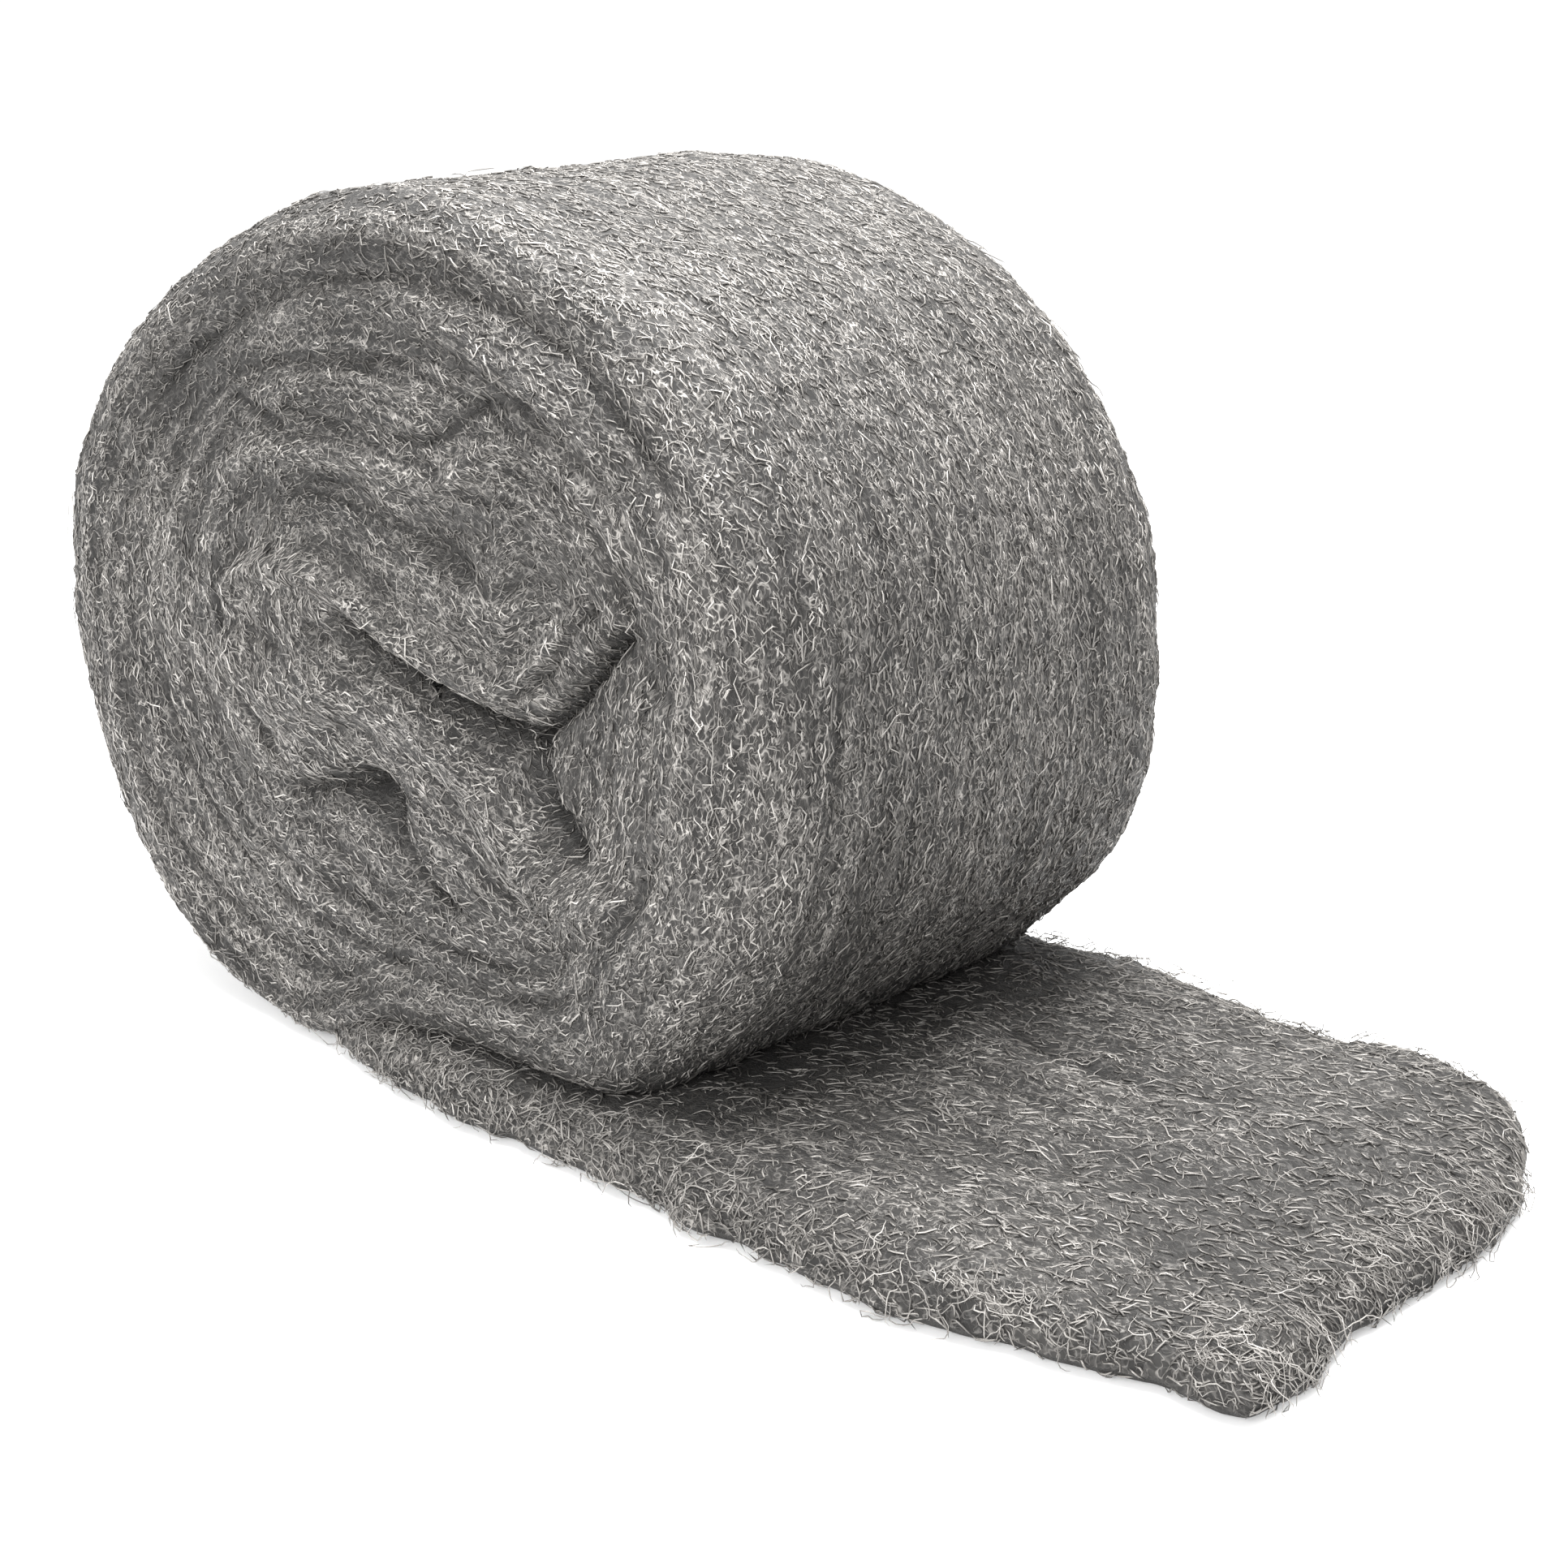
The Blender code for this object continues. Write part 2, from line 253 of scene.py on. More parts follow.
# ---------------------------------------------------------------------- the wound roll
def grid_mesh(rows, first=None, last=None):
    """Vertices and quads of closed rings; optional end points close both ends."""
    r, c = rows.shape[:2]
    verts = rows.reshape(-1, 3)
    i = np.arange(r - 1)[:, None] * c
    j = np.arange(c)[None]
    k = (j + 1) % c
    quads = np.stack([i + j, i + k, i + c + k, i + c + j], -1).reshape(-1, 4)
    faces = quads.tolist()
    n = len(verts)
    extra = []
    if first is not None:
        extra.append(first)
        faces += [(n, (a + 1) % c, a) for a in range(c)]
        n += 1
    if last is not None:
        extra.append(last)
        o = (r - 1) * c
        faces += [(n, o + a, o + (a + 1) % c) for a in range(c)]
    if extra:
        verts = np.vstack([verts, extra])
    return verts, faces


def vertex_normals(verts, faces):
    tri = np.array([(f[0], f[1], f[2]) for f in faces] + [(f[0], f[2], f[3]) for f in faces if len(f) == 4])
    a, b, c = verts[tri[:, 0]], verts[tri[:, 1]], verts[tri[:, 2]]
    n = np.cross(b - a, c - a)
    out = np.zeros_like(verts)
    for k in range(3):
        np.add.at(out, tri[:, k], n)
    return out / (np.linalg.norm(out, axis=1)[:, None] + 1e-12), tri


COLS = 372
FACE_ROWS, RIM_ROWS, SIDE_ROWS, BACK_ROWS = 104, 14, 36, 56


def face_field(q, rho):
    """Distance-like value whose level lines run along the folds and turns of the end face."""
    near = np.full(len(q), 1e9)
    for line in SKELETON:
        near = np.minimum(near, line_distance(q, line)[0])
    mix = smooth(0.42, 0.92, rho)
    return (1 - mix) * (near + 9.0) + mix * 57.0 * rho


def face_relief(q):
    """How far the end face sinks (+) or stands out (-), the painted shade in its grooves and hollows, and the crests of
    folds, which are painted lighter.
    """
    sink = np.zeros(len(q))
    painted_shade = np.zeros(len(q))
    crest_highlight = np.zeros(len(q))

    # dark sets the painted shade along a groove; ridges (depth below 0) mark crests that get a painted highlight
    def cut(line, width, depth, ends=(3.0, 3.0), dark=1.0, step=0.0, reach=5.0):
        d, fade, side = line_distance(q, line, ends)
        w = np.exp(-(d / width) ** 2) * fade
        sink[:] += depth * w
        if step:
            # the turn on the right of the line lies deeper and comes back up gently
            under = smooth(0.7, -0.7, side) * np.exp(-(d / reach) ** 2) * fade
            sink[:] += step * under
            # painted shade on the deeper side of the step
            painted_shade[:] = np.maximum(painted_shade, 0.55 * dark * under)
        if depth > 0:
            painted_shade[:] = np.maximum(painted_shade, dark * np.exp(-(d / (width * 1.25)) ** 2) * fade)
        else:
            crest_highlight[:] = np.maximum(crest_highlight, w * min(1.0, 3.0 / width))

    # broad shapes first
    cut(CRESCENT, 6.5, 1.6, (14, 14), 0.16)
    cut(CRESCENT, 1.6, 0.9, (16, 16), 0.42, 1.7, 8.0)
    cut([(-24, 61), (-12, 59), (2, 56)], 8.0, -1.8, (0, 6))
    cut(BAND_B, 4.2, -2.3, (3, 3))
    cut([(10, 72), (24, 70), (36, 70)], 9.0, -1.3, (3, 3))
    cut([(62, 66), (63, 54), (57, 45)], 7.0, -1.6, (3, 3))
    cut([(-30, 30), (-6, 28)], 8.0, -1.2, (3, 3))
    cut([(9.5, 81.5), (22, 80), (34, 82)], 5.0, 1.2, (5, 5), 0.30)
    # ridges
    cut(RIDGE_A, 2.1, -3.0, (5, 3))
    cut(TONGUE, 1.7, -1.3, (2, 1.5))
    cut(WAVY, 1.5, -2.0, (24, 10))
    # grooves
    cut(GROOVE_A, 1.25, 3.0, (8, 0), 1.0, 1.4, 4.0)
    cut([(4, 61.2), (14, 58.8), (24, 55.8), (32, 53.2)], 1.7, 0.9, (6, 0), 0.80)
    cut(GROOVE_B, 0.80, 3.4, (0, 1.5), 1.0, 0.7, 3.0)
    cut([(36.6, 55.6), (38.2, 54.6)], 1.8, 2.4, (0, 0), 1.0)
    cut(GROOVE_C, 1.35, 2.4, (0, 3), 1.0, 0.9, 4.0)
    cut([(36.9, 52.6), (38.6, 47.8), (41.2, 44.2), (45.2, 40.8)], 1.8, 0.7, (0, 2), 0.92)
    cut(TONGUE_GROOVE, 0.70, 1.8, (4, 1.5), 0.85)
    cut(POCKET_D, 1.25, 2.0, (9, 1), 0.90, 1.2, 4.0)
    cut([(0.5, 41.8), (4.4, 41.9), (7.4, 40.2)], 1.9, 2.6, (0, 0), 1.0)
    cut([(-7.0, 38.0), (0.0, 39.8), (5.2, 38.4), (8.6, 33.4)], 2.1, 1.0, (5, 3), 0.85)
    cut(POCKET_LINE, 1.0, 1.8, (0, 6), 0.90, 1.2, 4.0)
    cut(LOBE_SIDE, 1.2, 1.3, (6, 6), 0.62)
    cut([(-28, 92.5), (-20, 91.5), (-12, 89)], 0.9, 1.0, (2, 2), 0.75)
    cut([(-13.5, 92.5), (-5, 91), (2.5, 90.5)], 0.8, 0.9, (2, 2), 0.60)
    cut([(10, 91), (17, 90.5), (23, 92.5), (28, 96), (35, 97), (42, 96)], 0.9, 1.1, (3, 5), 0.70)
    cut(BELOW_WAVY, 1.0, 0.7, (6, 3), 0.45)
    cut(HOLLOW, 2.0, 1.4, (0, 0), 0.85)
    cut([(-21.5, 59.2), (-16.5, 58.2)], 1.3, 1.2, (0, 0), 0.75)
    cut([(-9, 62.6), (-5.5, 61.2)], 1.4, 0.9, (0, 0), 0.62)
    # edges of a few more turns: shallow grooves with painted shade along them, seen as soft dark lines
    for line, dark in TURN_LINES:
        cut(line, 0.9, 0.80, (9, 9), 1.35 * dark)
    return sink, painted_shade, crest_highlight


def build_roll():
    angle = np.linspace(0, 2 * np.pi, COLS, endpoint=False)
    edge = outline(angle, roll_base(angle))
    n2 = outward(edge)
    centre = edge.mean(0)
    n2 *= np.sign(((edge - centre) * n2).sum(1))[:, None]
    rf, rb = rim_front(angle), rim_back(angle)
    rows, kind = [], []

    def ring(curve, y, k):
        rows.append(np.stack([curve[:, 0], np.zeros(COLS) + y, curve[:, 1]], -1))
        kind.append(k)

    edge_f = edge + n2 * swell(angle, -40.0)[:, None]
    edge_b = edge + n2 * swell(angle, 40.0)[:, None]
    inner_f = edge_f - n2 * rf[:, None]
    rho_all = []
    for rho in np.linspace(0.0, 1.0, FACE_ROWS + 1)[1:]:
        ring(CORE + (inner_f - CORE) * rho, FACE_Y + FACE_DISH * smooth(1.0, 0.82, rho), 0)
        rho_all.append(rho)
    for a in np.linspace(0, np.pi / 2, RIM_ROWS + 1)[1:]:
        ring(edge_f - n2 * (rf * (1 - math.sin(a)))[:, None], FACE_Y + rf * (1 - math.cos(a)), 1)
    y0, y1 = FACE_Y + rf, BACK_Y - rb
    for t in np.linspace(0, 1, SIDE_ROWS + 1)[1:-1]:
        bulge = 0.45 * math.sin(math.pi * t)
        y = y0 + (y1 - y0) * t
        ring(edge + n2 * (bulge + swell(angle, y) + (swell(angle, -40.0) - swell(angle, y0)) * (1 - t)
                          + (swell(angle, 40.0) - swell(angle, y1)) * t)[:, None], y, 2)
    inward = CORE - edge_b
    inward /= np.linalg.norm(inward, axis=1)[:, None]
    for a in np.linspace(np.pi / 2, 0, RIM_ROWS + 1):
        ring(edge_b + inward * (rb * (1 - math.sin(a)))[:, None], BACK_Y - rb * (1 - math.cos(a)), 3)
    inner_b = edge_b + inward * rb[:, None]
    for rho in np.linspace(1.0, 0.0, BACK_ROWS + 1)[1:-1]:
        ring(CORE + (inner_b - CORE) * rho, BACK_Y, 4)
    rows = np.array(rows)
    verts, faces = grid_mesh(rows, (CORE[0], FACE_Y + FACE_DISH, CORE[1]), (CORE[0], BACK_Y, CORE[1]))
    kinds = np.r_[np.repeat(kind, COLS), 0, 4]
    rho_v = np.r_[np.repeat(rho_all, COLS), np.zeros(len(verts) - len(rho_all) * COLS)]
    normals, _ = vertex_normals(verts, faces)
    if normals[-2][1] > 0:
        faces = [tuple(reversed(f)) for f in faces]
        normals = -normals

    q = verts[:, [0, 2]]
    is_face = kinds == 0
    # arc length across the web: end face, rim, side, rim, back
    phi = np.zeros(len(verts))
    field = face_field(q[is_face], rho_v[is_face])
    phi[is_face] = field
    step = np.linalg.norm(np.diff(rows, axis=0), axis=2)
    ring_phi = np.full((len(rows), COLS), 57.0)
    for r in range(FACE_ROWS, len(rows)):
        ring_phi[r] = ring_phi[r - 1] + step[r - 1]
    phi[FACE_ROWS * COLS:len(rows) * COLS] = ring_phi[FACE_ROWS:].reshape(-1)
    phi[-1] = ring_phi[-1].mean() + 2.0

    # relief of the end face, faded over the rim
    front = (kinds == 0) | (kinds == 1)
    sink = np.zeros(len(verts))
    painted_shade = np.zeros(len(verts))
    s, h, c = face_relief(q[front])
    keep = np.clip(-normals[front, 1], 0, 1) ** 0.7
    sink[front] = s * keep
    # painted shade of the end face's grooves, faded over the rim like the relief
    painted_shade[front] = h * keep
    crest_highlight = np.zeros(len(verts))
    crest_highlight[front] = c * keep

    # back face: a plain soft spiral
    back = kinds >= 3
    rel = q[back] - np.array([8.0, 62.0])
    turn = np.arctan2(rel[:, 1] * 1.15, rel[:, 0])
    r = np.hypot(rel[:, 0], rel[:, 1] * 1.2)
    wave = (r - 7.6 * turn / (2 * np.pi) + 3.2 * noise3(np.c_[q[back] / 27, np.zeros(back.sum())], 5)
            + 1.0 * noise3(np.c_[q[back] / 9, np.zeros(back.sum())], 6)) / 7.6
    groove = np.exp(-((wave - np.round(wave)) / 0.15) ** 2) * (0.45 + 0.55 * smooth(
        -0.5, 0.4, noise3(np.c_[q[back] / 19, np.zeros(back.sum())], 7)))
    keep_b = np.clip(normals[back, 1], 0, 1)
    sink[back] += (1.9 * groove * smooth(62, 40, r) + 2.4 * np.exp(-(r / 7) ** 2)
                   + 1.6 * np.exp(-((r - 53) / 6.5) ** 2)) * keep_b
    # painted shade in the spiral grooves of the back face
    painted_shade[back] += 0.80 * groove * smooth(62, 40, r) * keep_b

    # turns seen on the end face, and ridges that follow the winding everywhere
    flow = np.c_[q / 30.0, phi / 2.4]
    fine = np.c_[q / 16.0, phi / 1.15]
    ridges = 1 - 2 * np.abs(noise3(flow, 11))
    ridges2 = 1 - 2 * np.abs(noise3(np.c_[q / 38.0, phi / 5.2], 12))
    gentle = noise3(np.c_[q / 42.0, phi / 9.0], 14)
    face = (kinds == 0) | (kinds == 1)
    core = np.where(kinds == 0, 0.60 + 0.80 * smooth(0.35, 0.75, rho_v), np.where(face, 1.25, 1.0))
    sink -= core * (0.26 * ridges + 0.36 * ridges2 + 0.30 * gentle + 0.12 * noise3(fine, 13))
    # painted shade in the troughs between the winding ridges, strongest on the end face
    low = (smooth(0.2, -0.6, ridges) * 0.26 + smooth(0.2, -0.6, ridges2) * 0.20) * np.where(face, 1.9, 0.8)
    # fold crests take away from the painted shade, a painted highlight where negative
    painted_shade = np.maximum(painted_shade, low) - 0.50 * crest_highlight
    # painted shade where the roll meets its free end and low at the roll's bottom
    painted_shade = np.maximum(painted_shade, 0.80 * smooth(17, 9, verts[:, 2]) * smooth(20, 45, verts[:, 0]))
    painted_shade = np.maximum(painted_shade, 0.85 * smooth(13.0, 9.0, verts[:, 2]) * smooth(-6, 22, verts[:, 0]))
    # soft, uneven body
    sink -= 0.75 * fractal(verts / 34.0, 21, 2) + 0.30 * fractal(verts / 7.0, 22, 2) + 0.16 * noise3(verts / 1.7, 23)
    verts = verts - normals * sink[:, None]
    verts[:, 2] = np.maximum(verts[:, 2], 0.6)
    return verts, faces, phi, np.clip(painted_shade, -0.4, 1), kinds


# ------------------------------------------------- the free end and the turn it becomes
FLAT_ROWS, CURL_ROWS, CURL = 168, 46, 0.135


def build_tail():
    turns = np.linspace(0, CURL, CURL_ROWS + 1)[1:]
    curl = outline(np.radians(270 - 360 * turns), 0.0)
    start = outline(np.radians(np.array([270.0])), 0.0)[0]
    run = TAIL_X - start[0]
    away = np.linspace(0, 1, FLAT_ROWS)
    flat_x = TAIL_X - run * (0.75 * away + 0.25 * away ** 2.6)
    line = np.vstack([np.c_[flat_x, np.zeros(FLAT_ROWS)], curl])
    u = np.r_[np.zeros(FLAT_ROWS), turns]
    n_in = -outward(line, closed=False)
    mid = np.array([0.0, 62.0])
    flip = np.sign(((mid - line) * n_in).sum(1))
    n_in *= np.where(flip == 0, 1, flip)[:, None]
    n_in[:FLAT_ROWS] = (0, 1)

    thick = WEB - 2.6 * smooth(0.06, CURL, u)
    dip = 5.5 * smooth(2, -36, line[:, 0]) * smooth(40, 8, line[:, 1])
    y_f = np.interp(line[:, 0], *zip(*FRONT_EDGE))
    y_b = np.interp(line[:, 0], *zip(*BACK_EDGE))
    y_f = np.where(u > 0, y_f + 3.0 * smooth(0.04, CURL, u), y_f)
    y_b = np.where(u > 0, y_b - 8.0 * smooth(0.0, CURL, u), y_b)

    across = 50
    v = np.sin(np.linspace(-1, 1, across) * np.pi / 2 * 0.93) / math.sin(np.pi / 2 * 0.93)
    v = 0.5 * np.linspace(-1, 1, across) + 0.5 * v
    low = 0.24
    up = (1 - np.abs(v) ** 11) ** 0.5
    ring_v = np.r_[v, v[::-1][1:-1]]
    ring_c = np.r_[low + (1 - low) * up, (low - low * (1 - np.abs(v) ** 22) ** 0.5)[::-1][1:-1]]
    cols = len(ring_v)
    rows = len(line)
    top = np.r_[np.ones(across, bool), np.zeros(cols - across, bool)]
    grid_v = np.tile(ring_v, (rows, 1))
    y = 0.5 * (y_f + y_b)[:, None] + 0.5 * (y_b - y_f)[:, None] * grid_v
    # uneven edges
    side = np.abs(grid_v) ** 6 * np.sign(grid_v)
    wob = fractal(np.c_[np.repeat(line[:, 0] / 8.0, cols), np.tile(np.sign(ring_v) * 5, rows),
                        np.repeat(u * 40, cols)], 31, 3).reshape(rows, cols)
    y = y + side * wob * 1.5
    # torn end: slanted, ragged, rounded off towards the floor
    x = np.tile(line[:, :1], (1, cols))
    share = np.clip((x - (TAIL_X - 60)) / 60, 0, 1) * (u[:, None] == 0)
    end = np.interp(y, *zip(*END_EDGE))
    rag = 1.0 * fractal(np.stack([y / 6.0, y * 0 + 3.3, y * 0], -1).reshape(-1, 3), 41, 3).reshape(y.shape)
    x = x - share ** 1.6 * (TAIL_X - end + rag)
    gone = np.clip((TAIL_X - line[:, 0] + 0.30) / 8.5, 0, 1)
    gone_low = np.clip((TAIL_X - line[:, 0] + 0.15) / 2.5, 0, 1)
    round_top = np.sqrt(1 - (1 - gone) ** 2)[:, None]
    round_low = np.sqrt(1 - (1 - gone_low) ** 2)[:, None]
    c = np.tile(ring_c, (rows, 1))
    c = np.where(c > low, low + (c - low) * round_top, low - (low - c) * round_low)
    soften = 1 - 0.22 * smooth(TAIL_X - 46, TAIL_X - 4, x) * (u[:, None] == 0)
    off = thick[:, None] * c * soften + dip[:, None]
    pos = np.stack([x + n_in[:, :1] * off, y, line[:, 1:] + n_in[:, 1:] * off], -1)

    # lengthwise ridges and soft mounds, strongest on top
    flat = pos.reshape(-1, 3)
    plan = flat[:, :2]
    bend = plan[:, 1] + 2.5 * noise3(np.c_[plan / 38, np.zeros(len(plan))], 50)
    ridge = 1 - 2 * np.abs(noise3(np.c_[flat[:, 0] / 44, bend / 6.5, flat[:, 2] * 0 + 2.2], 51))
    ridge2 = 1 - 2 * np.abs(noise3(np.c_[flat[:, 0] / 26, bend / 2.8, flat[:, 2] * 0 + 5.2], 52))
    lump = fractal(np.c_[plan / 20, flat[:, 2] * 0], 53, 3)
    small = fractal(flat / 2.4, 54, 2)
    lift = 0.50 * ridge + 0.30 * ridge2 + 0.85 * lump + 0.30 * small
    # painted shade in the troughs between ridges and along the folds
    shade = smooth(0.1, -0.6, ridge) * 0.25 + smooth(0.1, -0.6, ridge2) * 0.18
    for path, width, height, dark in TAIL_FOLDS:
        d, fade, _ = line_distance(plan, path, (8, 6))
        lift += height * np.exp(-(d / width) ** 2) * fade
        shade = np.maximum(shade, dark * np.exp(-(d / width) ** 2) * fade)
    weight = (np.where(top, np.clip((ring_c - low) / (1 - low) * 1.6, 0, 1), 0)[None] * round_top).reshape(-1)
    lift *= weight
    shade *= weight
    pos[..., 0] += n_in[:, :1] * lift.reshape(rows, cols)
    pos[..., 2] += n_in[:, 1:] * lift.reshape(rows, cols)
    verts, faces = grid_mesh(pos)
    n = len(verts)
    verts = np.vstack([verts, pos[-1].mean(0)])
    pair = [0] + [across + (across - 2 - j) for j in range(1, across - 1)] + [across - 1]
    for j in range(across - 1):
        quad = (j, pair[j], pair[j + 1], j + 1)
        faces.append(tuple(k for i, k in enumerate(quad) if k not in quad[:i]))
    o = (rows - 1) * cols
    faces += [(n, o + a, o + (a + 1) % cols) for a in range(cols)]
    normals, _ = vertex_normals(verts, faces)
    if normals[int(60 * cols + across // 2)][2] < 0:
        faces = [tuple(reversed(f)) for f in faces]
    verts[:, 2] = np.maximum(verts[:, 2], 0.05)
    under = np.where(ring_c < low, 160, 0)
    phi = np.r_[(y + under).reshape(-1), 0.0]
    # painted shade on the free end beside the roll and in the crease along its front
    roll_contact_shade = 0.65 * smooth(78, 58, flat[:, 0]) * smooth(20, 40, flat[:, 0]) * smooth(-47, -34, flat[:, 1])
    crease_shade = 0.80 * smooth(62, 46, flat[:, 0]) * smooth(0, 22, flat[:, 0]) * smooth(-46.5, -43.5, flat[:, 1])
    shade = np.maximum(shade, np.maximum(roll_contact_shade, crease_shade) * weight)
    # the free end is also made darker overall and darker towards the torn end
    painted_shade = np.r_[shade + 0.10 + 0.32 * smooth(92, 136, flat[:, 0]), 0.0]
    kinds = np.r_[np.tile(np.where(top, 5, 6), rows), 6]
    return verts, faces, phi, np.clip(painted_shade, 0, 1), kinds, cols, across


# --------------------------------------------------------------------------- fibres
def sample_surface(rng, verts, faces, phi, weight, count):
    """Places, normals and fibre directions spread over the surface."""
    normals, tri = vertex_normals(verts, faces)
    a, b, c = (verts[tri[:, k]] for k in range(3))
    e1, e2 = b - a, c - a
    cr = np.cross(e1, e2)
    area = 0.5 * np.linalg.norm(cr, axis=1)
    w = area * weight[tri].mean(1)
    pick = rng.choice(len(tri), count, p=w / w.sum())
    r1, r2 = rng.random(count), rng.random(count)
    over = r1 + r2 > 1
    r1[over], r2[over] = 1 - r1[over], 1 - r2[over]
    p = a[pick] + e1[pick] * r1[:, None] + e2[pick] * r2[:, None]
    bary = np.stack([1 - r1 - r2, r1, r2], -1)
    n = (normals[tri[pick]] * bary[..., None]).sum(1)
    n /= np.linalg.norm(n, axis=1)[:, None] + 1e-12
    # gradient of phi on each triangle
    u1, u2, crp = e1[pick], e2[pick], cr[pick]
    d1 = (phi[tri[pick, 1]] - phi[tri[pick, 0]])[:, None]
    d2 = (phi[tri[pick, 2]] - phi[tri[pick, 0]])[:, None]
    grad = (np.cross(u2, crp) * -d1 + np.cross(u1, crp) * d2)
    t = np.cross(n, grad)
    t /= np.linalg.norm(t, axis=1)[:, None] + 1e-12
    return p, n, t, tri[pick], bary


def strand_mesh(name, centre, radius, shade, cells):
    """Closed three-sided tubes through centre (n, k, 3), pointed at both ends, one UV cell each."""
    n, k = centre.shape[:2]
    t = np.gradient(centre, axis=1)
    t /= np.linalg.norm(t, axis=2)[..., None] + 1e-12
    ref = np.cross(t[:, :1], np.roll(centre, 1, 1)[:, :1] - centre[:, :1])
    helper = np.where(np.abs(t[..., 2:3]) < 0.8, np.array([0, 0, 1.0]), np.array([1.0, 0, 0]))
    side = np.cross(t, helper)
    side /= np.linalg.norm(side, axis=2)[..., None] + 1e-12
    other = np.cross(t, side)
    inner = k - 2
    ang = np.arange(3) * 2 * np.pi / 3
    rings = (centre[:, 1:-1, None] + radius[:, 1:-1, None, None]
             * (side[:, 1:-1, None] * np.cos(ang)[None, None, :, None]
                + other[:, 1:-1, None] * np.sin(ang)[None, None, :, None]))
    per = inner * 3 + 2
    verts = np.concatenate([centre[:, :1], rings.reshape(n, -1, 3), centre[:, -1:]], 1)
    local, uv_local = [], []
    lo, hi = 0.16, 0.84

    def at(i, s):
        return (lo + (hi - lo) * i / (k - 1), lo + (hi - lo) * s / 3)

    for s in range(3):
        s2 = (s + 1) % 3
        local.append((0, 1 + s2, 1 + s))
        uv_local.append((at(0, s + 0.5), at(1, s + 1), at(1, s)))
        for i in range(inner - 1):
            a, b = 1 + i * 3 + s, 1 + i * 3 + s2
            c, d = 1 + (i + 1) * 3 + s2, 1 + (i + 1) * 3 + s
            local += [(a, b, c), (a, c, d)]
            uv_local += [(at(i + 1, s), at(i + 1, s + 1), at(i + 2, s + 1)),
                         (at(i + 1, s), at(i + 2, s + 1), at(i + 2, s))]
        o = 1 + (inner - 1) * 3
        local.append((o + s, o + s2, per - 1))
        uv_local.append((at(k - 2, s), at(k - 2, s + 1), at(k - 1, s + 0.5)))
    local = np.array(local)
    uv_local = np.array(uv_local, float)
    tris = (local[None] + (np.arange(n) * per)[:, None, None]).reshape(-1, 3)
    # outward faces
    v = verts.reshape(-1, 3)
    cell = 1.0 / cells
    origin = np.stack([np.arange(n) % cells, np.arange(n) // cells], -1) * cell
    uv = (origin[:, None, None] + uv_local[None] * cell).reshape(-1, 2)
    p0, p1, p2 = v[tris[:, 0]], v[tris[:, 1]], v[tris[:, 2]]
    nrm = np.cross(p1 - p0, p2 - p0)
    mid = (p0 + p1 + p2) / 3
    axis = np.repeat(centre.mean(1), len(local), 0)
    # compare with the first ring's own centre to learn the winding
    test = tris[1]
    cen = centre[0, 1:3].mean(0)
    if np.dot(np.cross(v[test[1]] - v[test[0]], v[test[2]] - v[test[0]]), v[test].mean(0) - cen) < 0:
        tris = tris[:, ::-1]
        uv = uv.reshape(-1, 3, 2)[:, ::-1].reshape(-1, 2)
    mesh = bpy.data.meshes.new(name)
    mesh.vertices.add(len(v))
    mesh.vertices.foreach_set("co", ((v + SHIFT) * MM).astype(np.float32).ravel())
    mesh.loops.add(len(tris) * 3)
    mesh.loops.foreach_set("vertex_index", np.ascontiguousarray(tris).astype(np.int32).ravel())
    mesh.polygons.add(len(tris))
    mesh.polygons.foreach_set("loop_start", np.arange(len(tris), dtype=np.int32) * 3)
    mesh.update(calc_edges=True)
    layer = mesh.uv_layers.new(name="OFBake")
    layer.data.foreach_set("uv", uv.astype(np.float32).ravel())
    attr = mesh.attributes.new("shade", "FLOAT", "POINT")
    attr.data.foreach_set("value", np.repeat(shade, per).astype(np.float32))
    mesh.shade_smooth()
    mesh.validate()
    obj = bpy.data.objects.new(name, mesh)
    bpy.context.scene.collection.objects.link(obj)
    return obj


def short_fibres(rng, surface, weight, count, length=(2.5, 0.40), spread=30.0, curl=0.17, points=5, tone=(2.2, 1.9)):
    verts, faces, phi, painted_shade = surface[:4]
    p, n, t, tri, bary = sample_surface(rng, verts, faces, phi, weight, count)
    b = np.cross(n, t)
    a = np.radians(rng.normal(0, spread, count))
    wild = rng.random(count) < 0.05
    a[wild] = rng.uniform(-np.pi / 2, np.pi / 2, wild.sum())
    d = t * np.cos(a)[:, None] + b * np.sin(a)[:, None]
    e = np.cross(n, d)
    size = np.exp(rng.normal(math.log(length[0]), length[1], count)).clip(0.9, 7.0)
    s = np.linspace(0, 1, points)[None]
    arc = rng.normal(0, curl, count)[:, None] * size[:, None]
    wave = rng.normal(0, 0.6 * curl, count)[:, None] * size[:, None]
    lateral = arc * (1 - (2 * s - 1) ** 2) + wave * np.sin(2 * np.pi * s)
    bow = rng.uniform(0.12, 0.34, count)[:, None]
    height = -0.12 + bow * (1 - (2 * s - 1) ** 2)
    free = rng.random(count) < 0.03
    height[free] += (rng.uniform(0.15, 0.8, free.sum())[:, None] * (s ** 1.6))
    painted_shade_here = (painted_shade[tri] * bary).sum(1)
    along = (s - 0.5) * size[:, None]
    centre = (p[:, None] + d[:, None] * along[..., None] + e[:, None] * lateral[..., None]
              + n[:, None] * height[..., None])
    thick = rng.uniform(0.110, 0.160, count)[:, None] * (0.55 + 0.45 * np.sin(np.pi * s))
    centre[..., 2] = np.maximum(centre[..., 2], 0.15)
    # strand tone: random, darkened by the painted shade of the surface beneath
    shade = np.clip(rng.beta(*tone, count) * (1 - rng.uniform(0.50, 1.0, count) * painted_shade_here), 0, 1)
    return centre, thick, shade


